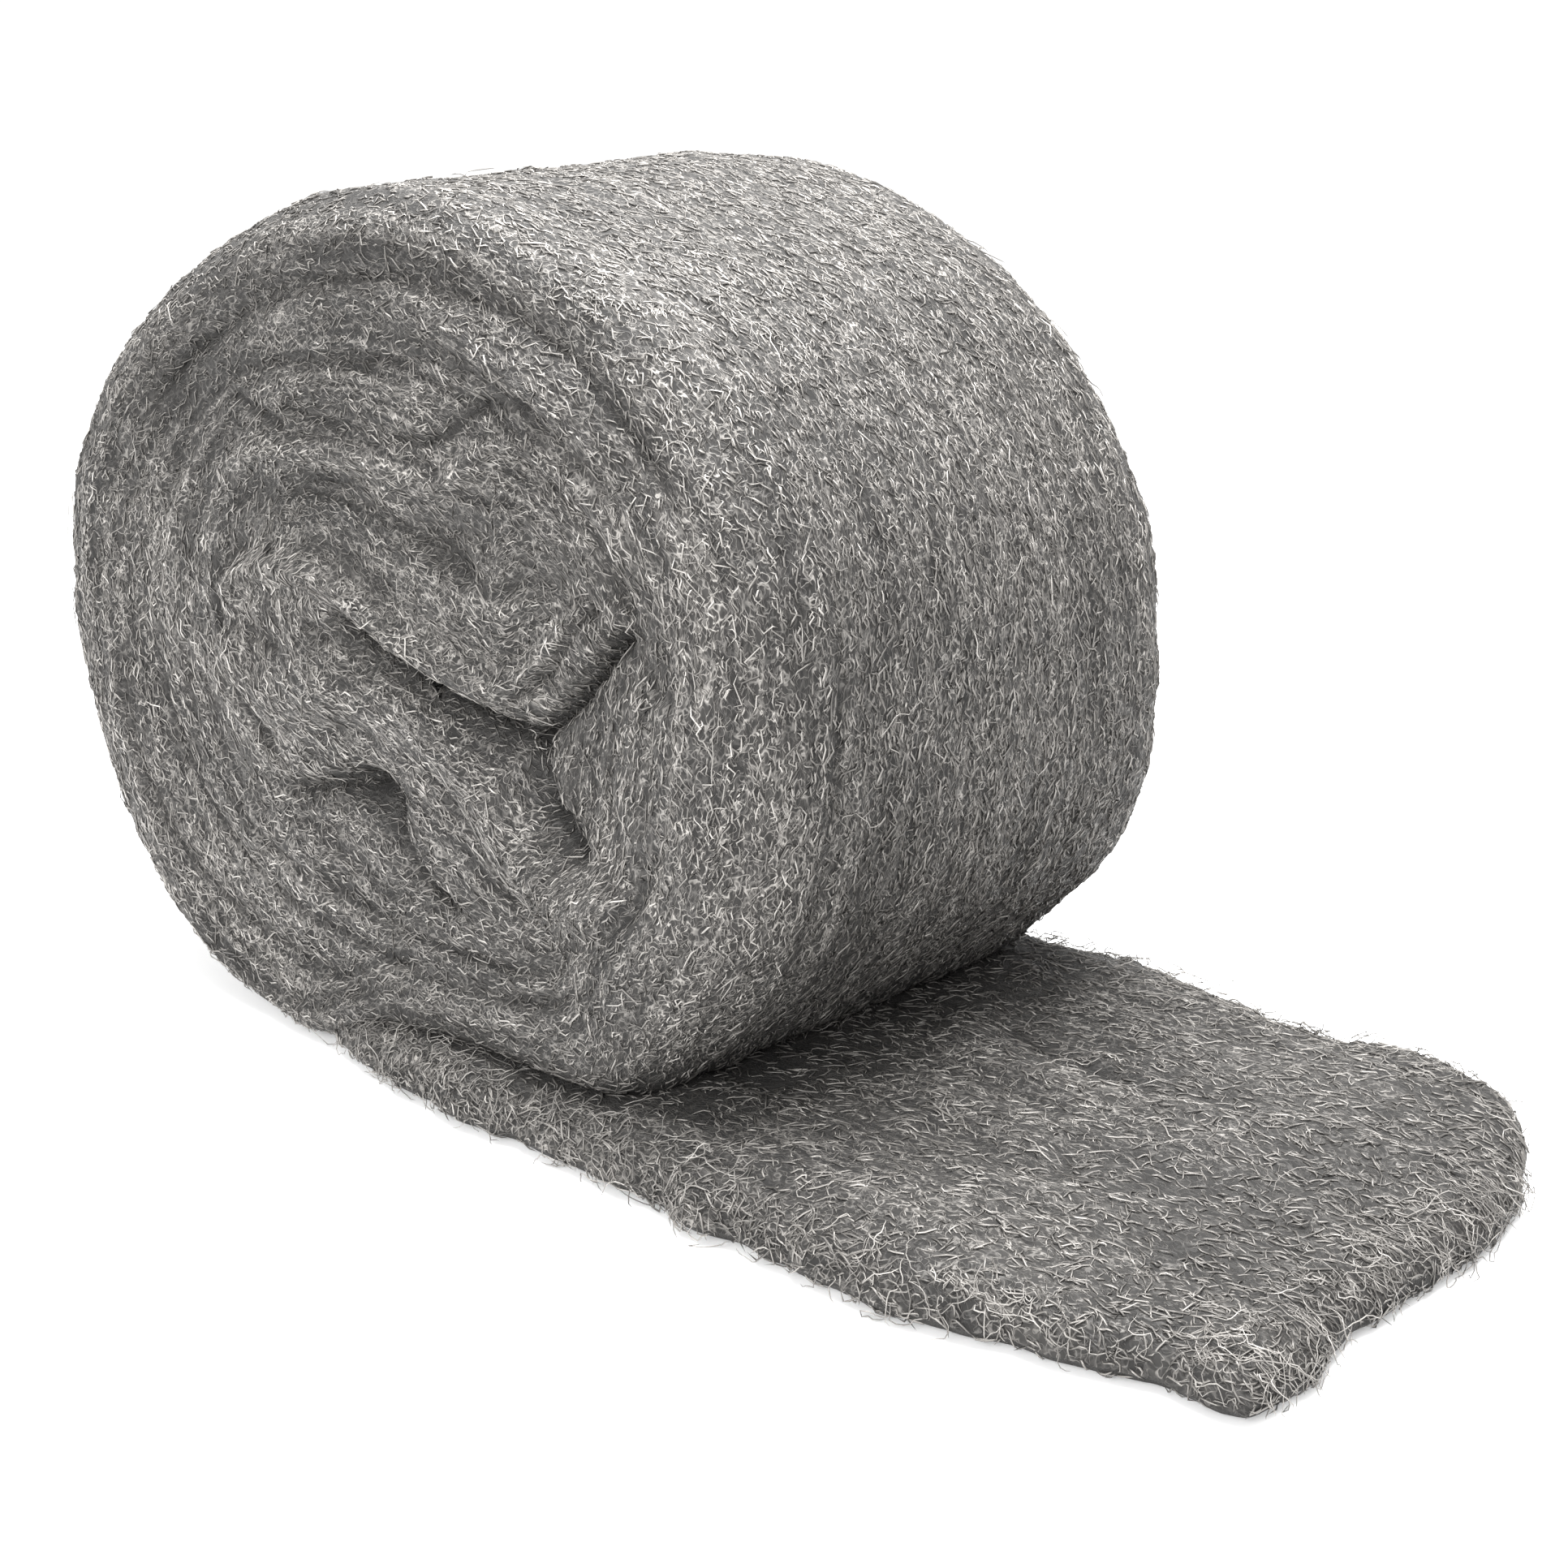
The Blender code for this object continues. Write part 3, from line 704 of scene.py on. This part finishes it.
def long_fibres(rng, surface, weight, count, length=(7, 16), points=12, lift=1.6, curl=0.55):
    verts, faces, phi, painted_shade = surface[:4]
    p, n, t, tri, bary = sample_surface(rng, verts, faces, phi, weight, count)
    b = np.cross(n, t)
    a = np.radians(rng.normal(0, 38, count))
    d = t * np.cos(a)[:, None] + b * np.sin(a)[:, None]
    e = np.cross(n, d)
    size = rng.uniform(*length, count)
    s = np.linspace(0, 1, points)
    heading = np.cumsum(rng.normal(0, curl, (count, points)), 1)
    heading -= heading.mean(1)[:, None]
    rise = np.cumsum(rng.normal(0, 0.16, (count, points)), 1)
    step = size[:, None] / points
    x = np.cumsum(np.cos(heading) * step, 1)
    y = np.cumsum(np.sin(heading) * step, 1)
    x -= x.mean(1)[:, None]
    y -= y.mean(1)[:, None]
    h = 0.05 + np.abs(np.cumsum(rise * step, 1))
    h = np.minimum(h, lift * (0.25 + rng.random(count)[:, None]))
    centre = p[:, None] + d[:, None] * x[..., None] + e[:, None] * y[..., None] + n[:, None] * h[..., None]
    centre[..., 2] = np.maximum(centre[..., 2], 0.15)
    thick = rng.uniform(0.06, 0.10, count)[:, None] * (0.6 + 0.4 * np.sin(np.pi * s))[None]
    shade = np.clip(rng.beta(2.4, 2.0, count), 0, 1)
    return centre, thick, shade


# ------------------------------------------------------------------------- materials
class Nodes:
    def __init__(self, tree):
        self.tree = tree

    def make(self, kind, **sets):
        node = self.tree.nodes.new(kind)
        for key, value in sets.items():
            setattr(node, key, value)
        return node

    def put(self, socket, value):
        if hasattr(value, "is_output"):
            self.tree.links.new(value, socket)
        else:
            socket.default_value = value

    def math(self, operation, a, b=0.0, c=0.0, clamp=False):
        node = self.make("ShaderNodeMath", operation=operation, use_clamp=clamp)
        for socket, value in zip(node.inputs, (a, b, c)):
            self.put(socket, value)
        return node.outputs[0]

    def ramp(self, value, low, high, kind="SMOOTHSTEP", to=(0.0, 1.0)):
        node = self.make("ShaderNodeMapRange", interpolation_type=kind)
        self.put(node.inputs["Value"], value)
        node.inputs["From Min"].default_value = low
        node.inputs["From Max"].default_value = high
        node.inputs["To Min"].default_value = to[0]
        node.inputs["To Max"].default_value = to[1]
        return node.outputs["Result"]

    def attribute(self, name):
        return self.make("ShaderNodeAttribute", attribute_name=name).outputs["Fac"]

    def noise(self, vector, scale, detail=2.0, rough=0.5, w=None):
        node = self.make("ShaderNodeTexNoise", noise_dimensions="4D" if w is not None else "3D")
        self.put(node.inputs["Vector"], vector)
        node.inputs["Scale"].default_value = scale
        node.inputs["Detail"].default_value = detail
        node.inputs["Roughness"].default_value = rough
        if w is not None:
            self.put(node.inputs["W"], w)
        return node


# colour of the mass by fibre level; the dark end is painted shade deep in the gaps between fibres
MASS_STOPS = ((0.0, (0.0095, 0.0088, 0.0081, 1)), (0.30, (0.034, 0.0318, 0.0294, 1)),
              (0.62, (0.127, 0.1198, 0.1112, 1)), (1.0, (0.345, 0.328, 0.307, 1)))
STRAND_STOPS = ((0.0, (0.058, 0.0547, 0.0508, 1)), (0.45, (0.162, 0.1532, 0.1432, 1)), (0.8, (0.290, 0.276, 0.259, 1)),
                (1.0, (0.45, 0.430, 0.406, 1)))
# layers of laid fibres: reach along (mm), spacing across (mm), thickness of the line, brightness (lower for deeper
# layers, a painted shade of depth)
LAYERS = ((1.8, 0.48, 0.046, 1.00), (2.2, 0.56, 0.048, 0.84), (1.6, 0.44, 0.052, 0.66), (2.0, 0.42, 0.070, 0.42))


def colour_ramp(n, value, stops):
    node = n.make("ShaderNodeValToRGB")
    ramp = node.color_ramp
    while len(ramp.elements) < len(stops):
        ramp.elements.new(0.5)
    for element, (place, colour) in zip(ramp.elements, stops):
        element.position = place
        element.color = colour
    n.put(node.inputs["Fac"], value)
    return node.outputs["Color"]


def wool_mass():
    """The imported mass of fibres: layers of short wavy strands laid along the web."""
    mat = bpy.data.materials.new("steel_wool_mass")
    mat.use_nodes = True
    tree = mat.node_tree
    n = Nodes(tree)
    shader = tree.nodes["Principled BSDF"]
    coords = n.make("ShaderNodeTexCoord").outputs["Object"]
    scaled = n.make("ShaderNodeVectorMath", operation="SCALE")
    n.put(scaled.inputs[0], coords)
    scaled.inputs["Scale"].default_value = 1000.0
    p = scaled.outputs["Vector"]
    phi = n.attribute("phi")
    painted_shade = n.attribute("painted_shade")

    warp = n.make("ShaderNodeSeparateColor")
    n.put(warp.inputs[0], n.noise(p, 0.40, 1.5, 0.5).outputs["Color"])
    height = None
    for k, (along, across, thick, gain) in enumerate(LAYERS):
        sway = n.math("MULTIPLY_ADD", n.math("SUBTRACT", warp.outputs[k % 3], 0.5), 3.6 - 0.4 * k, phi)
        w = n.math("MULTIPLY_ADD", sway, 1.0 / across, 23.7 * (k + 1))
        field = n.noise(p, 1.0 / along, 0.6, 0.5, w=w).outputs["Fac"]
        away = n.math("ABSOLUTE", n.math("SUBTRACT", field, 0.5))
        line = n.ramp(away, 0.0, thick, "SMOOTHSTEP", (1.0, 0.0))
        vary = n.ramp(n.noise(p, 0.42 + 0.07 * k, 0.0, 0.5, w=float(k) * 7.7 + 1.3).outputs["Fac"], 0.36, 0.62,
                      "SMOOTHSTEP", (0.60, 1.0))
        h = n.math("MULTIPLY", n.math("MULTIPLY", line, vary), gain)
        height = h if height is None else n.math("MAXIMUM", height, h)
    # soft streaks along the winding
    sep = n.make("ShaderNodeSeparateXYZ")
    n.put(sep.inputs[0], p)
    flow = n.make("ShaderNodeCombineXYZ")
    n.put(flow.inputs[0], n.math("MULTIPLY", sep.outputs[0], 0.033))
    n.put(flow.inputs[1], n.math("MULTIPLY", sep.outputs[2], 0.033))
    n.put(flow.inputs[2], n.math("MULTIPLY", phi, 0.42))
    streak = n.noise(flow.outputs[0], 1.0, 3.0, 0.55).outputs["Fac"]
    thread = n.make("ShaderNodeCombineXYZ")
    n.put(thread.inputs[0], n.math("MULTIPLY", sep.outputs[0], 0.040))
    n.put(thread.inputs[1], n.math("MULTIPLY", sep.outputs[2], 0.040))
    n.put(thread.inputs[2], n.math("MULTIPLY_ADD", phi, 1.15, 40.0))
    threads = n.noise(thread.outputs[0], 1.0, 2.0, 0.55).outputs["Fac"]
    level = n.math("MULTIPLY_ADD", height, 0.84, 0.06)
    level = n.math("ADD", level, n.ramp(streak, 0.30, 0.70, "LINEAR", (-0.12, 0.12)))
    level = n.math("ADD", level, n.ramp(threads, 0.30, 0.70, "LINEAR", (-0.16, 0.16)))
    # painted shade from the mesh attribute darkens the colour; negative values lighten fold crests as painted highlight
    level = n.math("MULTIPLY", level, n.math("MULTIPLY_ADD", painted_shade, -0.82, 1.0), clamp=True)
    n.put(shader.inputs["Base Color"], colour_ramp(n, level, MASS_STOPS))
    n.put(shader.inputs["Roughness"], n.ramp(height, 0.0, 1.0, "LINEAR", (0.80, 0.50)))
    shader.inputs["Metallic"].default_value = 0.20
    bump = n.make("ShaderNodeBump")
    bump.inputs["Strength"].default_value = 1.0
    bump.inputs["Distance"].default_value = 0.00016
    n.put(bump.inputs["Height"], height)
    n.put(shader.inputs["Normal"], bump.outputs[0])
    return mat


def wool_strand():
    """Single steel fibres: a bright drawn surface, each a little different."""
    mat = bpy.data.materials.new("steel_wool_strand")
    mat.use_nodes = True
    tree = mat.node_tree
    n = Nodes(tree)
    shader = tree.nodes["Principled BSDF"]
    shade = n.attribute("shade")
    coords = n.make("ShaderNodeTexCoord").outputs["Object"]
    grain = n.noise(coords, 420.0, 2.0, 0.5).outputs["Fac"]
    level = n.math("ADD", shade, n.ramp(grain, 0.3, 0.7, "LINEAR", (-0.05, 0.05)), clamp=True)
    n.put(shader.inputs["Base Color"], colour_ramp(n, level, STRAND_STOPS))
    n.put(shader.inputs["Roughness"], n.ramp(grain, 0.3, 0.7, "LINEAR", (0.34, 0.46)))
    shader.inputs["Metallic"].default_value = 0.40
    return mat


# ---------------------------------------------------------------------------- put up
def make_object(name, verts, faces, phi, painted_shade, uv):
    mesh = bpy.data.meshes.new(name)
    mesh.from_pydata(((verts + SHIFT) * MM).tolist(), [], faces)
    for key, values in (("phi", phi), ("painted_shade", painted_shade)):
        attr = mesh.attributes.new(key, "FLOAT", "POINT")
        attr.data.foreach_set("value", np.asarray(values, np.float32))
    layer = mesh.uv_layers.new(name="OFBake")
    layer.data.foreach_set("uv", np.asarray(uv, np.float32).ravel())
    mesh.shade_smooth()
    mesh.update()
    obj = bpy.data.objects.new(name, mesh)
    bpy.context.scene.collection.objects.link(obj)
    return obj


def loop_uv_rings(faces, ring_rows, cols, v_of_row, tips, across=0):
    """UV of a grid of closed rings: u round the ring, v down the rows; the seam keeps its own edge."""
    out = []
    for f in faces:
        if across and all(i < cols for i in f):
            # the closing strip at the torn end
            for i in f:
                j = i if i < across else 2 * across - 2 - i
                out.append((j / across * 0.9, 0.008 if i < across and j not in (0, across - 1) else 0.001
                            if i >= across else 0.0045))
            continue
        cs = [i % cols if i < ring_rows * cols else None for i in f]
        has_last = any(c is not None and c > cols * 0.75 for c in cs)
        for i, c in zip(f, cs):
            if c is None:
                known = [((k + cols) if (k < cols * 0.25 and has_last) else k) for k in cs if k is not None]
                out.append((sum(known) / len(known) / cols, tips[i]))
            else:
                k = c + cols if (c < cols * 0.25 and has_last) else c
                out.append((k / cols, v_of_row[i // cols]))
    out = np.array(out)
    out[:, 0] = 0.004 + 0.992 * out[:, 0]
    return out


rng = np.random.default_rng(71)
wool = wool_mass()
strand = wool_strand()

roll = build_roll()
rows_total = (len(roll[0]) - 2) // COLS
row_len = np.r_[0, np.cumsum(np.linalg.norm(np.diff(
    roll[0][:-2].reshape(rows_total, COLS, 3), axis=0), axis=2).mean(1))]
v_rows = 0.01 + 0.98 * (row_len + 1.0) / (row_len[-1] + 2.0)
uv = loop_uv_rings(roll[1], rows_total, COLS, v_rows, {len(roll[0]) - 2: 0.004, len(roll[0]) - 1: 0.996})
roll_obj = make_object("wool_roll_body", *roll[:4], uv)
roll_obj.data.materials.append(wool)

tail = build_tail()
tail_cols, tail_across = tail[5:7]
tail_rows = (len(tail[0]) - 1) // tail_cols
uv = loop_uv_rings(tail[1], tail_rows, tail_cols, np.linspace(0.012, 0.990, tail_rows), {len(tail[0]) - 1: 0.996},
                   tail_across)
tail_obj = make_object("wool_free_end", *tail[:4], uv)
tail_obj.data.materials.append(wool)

made = [roll_obj, tail_obj]


def strands(name, parts):
    """parts: list of (centre, thick, shade) with the same number of points."""
    centre = np.concatenate([a for a, _, _ in parts])
    thick = np.concatenate([b for _, b, _ in parts])
    shade = np.concatenate([c for _, _, c in parts])
    cells = int(math.ceil(math.sqrt(len(centre))))
    obj = strand_mesh(name, centre, thick, shade, cells)
    obj.data.materials.append(strand)
    made.append(obj)
    return obj


kinds = roll[4]
z = roll[0][:, 2]
x = roll[0][:, 0]
front_w = np.where(kinds == 0, 1.0, np.where(kinds == 1, 1.0, 0.0))
side_w = np.where(kinds == 2, 1.0, 0.0) * (z > 9)
lit = np.clip(0.35 + 0.65 * ((x + 20) / 60), 0.35, 1.0)
back_w = np.where(kinds >= 3, 1.0, 0.0) * (z > 9)
# strand tones by region: the side's darker, narrower tone is painted shade against the key light falling on it; the end
# face's wider spread of dark and bright strands is painted shade and highlight among its fibres
strands("fibres_end_face", [short_fibres(rng, roll, front_w, 14000, (2.45, 0.36), 21, 0.18, 4, (1.7, 1.6))])
strands("fibres_side", [short_fibres(rng, roll, side_w * lit, 12000, (2.35, 0.36), 21, 0.16, 4, (2.6, 4.2))])
strands("fibres_back", [short_fibres(rng, roll, back_w + 0.15 * side_w * (lit < 0.9), 10000, (2.45, 0.36), 21, 0.17, 4,
                                       (1.9, 1.9))])
tk = tail[4]
tail_w = np.where(tk == 5, 1.0, 0.0) * (tail[0][:, 2] > 2.0)
under_roll = (tail[0][:, 0] > -25) & (tail[0][:, 0] < 30) & (np.abs(tail[0][:, 1]) < 36) & (tail[0][:, 2] < 12)
tail_w[under_roll] = 0.0
edge_w = np.where((tail[0][:, 2] < 7.0), 1.0, 0.0) * (tail[0][:, 2] > 1.0)
strands("fibres_free_end", [short_fibres(rng, tail, tail_w + 0.8 * edge_w, 10900, spread=34, curl=0.20)])
tip_w = tail_w * (0.10 + 6.0 * smooth(TAIL_X - 14, TAIL_X - 1, tail[0][:, 0]) + 2.0 * (np.abs(tail[0][:, 1] + 3.5) > 41))
strands("fibres_loose", [
    long_fibres(rng, tail, tip_w, 900, (4, 12), 12, 2.4, 0.7),
    long_fibres(rng, roll, np.where(z > 9, 1.0, 0.0), 320, (5, 11), 12, 0.9, 0.5),
])

for obj in made:
    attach(obj, "root")
    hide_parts("wool_roll")

# --------------------------------------------------------------- floor, light, camera
SKY, KEY, FILL = 1.08, 10.8, 14.0
scene = bpy.context.scene
scene.view_settings.view_transform = "Standard"
scene.view_settings.look = "None"

floor_mat = bpy.data.materials.new("floor")
floor_mat.use_nodes = True
floor_mat.node_tree.nodes["Principled BSDF"].inputs["Base Color"].default_value = (0.78, 0.78, 0.78, 1)
floor_mat.node_tree.nodes["Principled BSDF"].inputs["Emission Color"].default_value = (1, 1, 1, 1)
floor_mat.node_tree.nodes["Principled BSDF"].inputs["Emission Strength"].default_value = 0.22
floor_mat.node_tree.nodes["Principled BSDF"].inputs["Roughness"].default_value = 0.9
floor_mat.node_tree.nodes["Principled BSDF"].inputs["Specular IOR Level"].default_value = 0.0
reach = 9.0
floor_mesh = bpy.data.meshes.new("floor")
floor_mesh.from_pydata([(-reach, -reach, -0.0002), (reach, -reach, -0.0002), (reach, reach, -0.0002),
                        (-reach, reach, -0.0002)], [], [(0, 1, 2, 3)])
floor_mesh.materials.append(floor_mat)
floor = bpy.data.objects.new("floor", floor_mesh)
scene.collection.objects.link(floor)

world = bpy.data.worlds.new("studio")
scene.world = world
world.use_nodes = True
world.node_tree.nodes["Background"].inputs["Color"].default_value = (1.0, 1.0, 1.0, 1)
world.node_tree.nodes["Background"].inputs["Strength"].default_value = SKY


def area(name, place, target, size, power):
    light = bpy.data.lights.new(name, "AREA")
    light.shape = "DISK"
    light.size = size
    light.energy = power
    lamp = bpy.data.objects.new(name, light)
    lamp.location = place
    lamp.rotation_euler = (Vector(target) - Vector(place)).to_track_quat("-Z", "Y").to_euler()
    scene.collection.objects.link(lamp)


area("key", (-0.03, 0.02, 0.54), (-0.02, 0, 0.06), 0.44, KEY)
area("fill", (0.36, -0.96, 0.52), (0, 0, 0.06), 0.70, FILL)

AZ, EL, FOCAL_PX, DIST = 43.571868, 16.733, 3076.5419, 373.13813
PX, PY = 728.1612, 779.8914
a, e = math.radians(AZ), math.radians(EL)
back = Vector((math.sin(a) * math.cos(e), -math.cos(a) * math.cos(e), math.sin(e)))
right = Vector((math.cos(a), math.sin(a), 0.0))
up = back.cross(right)
xo, yo = (PX - 966) * DIST / FOCAL_PX, -(PY - 966) * DIST / FOCAL_PX
eye = Vector((0, 0, 55)) + back * DIST - right * xo - up * yo + Vector(SHIFT)
cam_data = bpy.data.cameras.new("camera")
cam_data.sensor_fit = "HORIZONTAL"
cam_data.sensor_width = 36.0
cam_data.lens = FOCAL_PX / 1932 * 36.0
cam_data.clip_start = 0.01
cam = bpy.data.objects.new("camera", cam_data)
cam.matrix_world = Matrix.Translation(eye * MM) @ Matrix((right, up, back)).transposed().to_4x4()
scene.collection.objects.link(cam)
scene.camera = cam
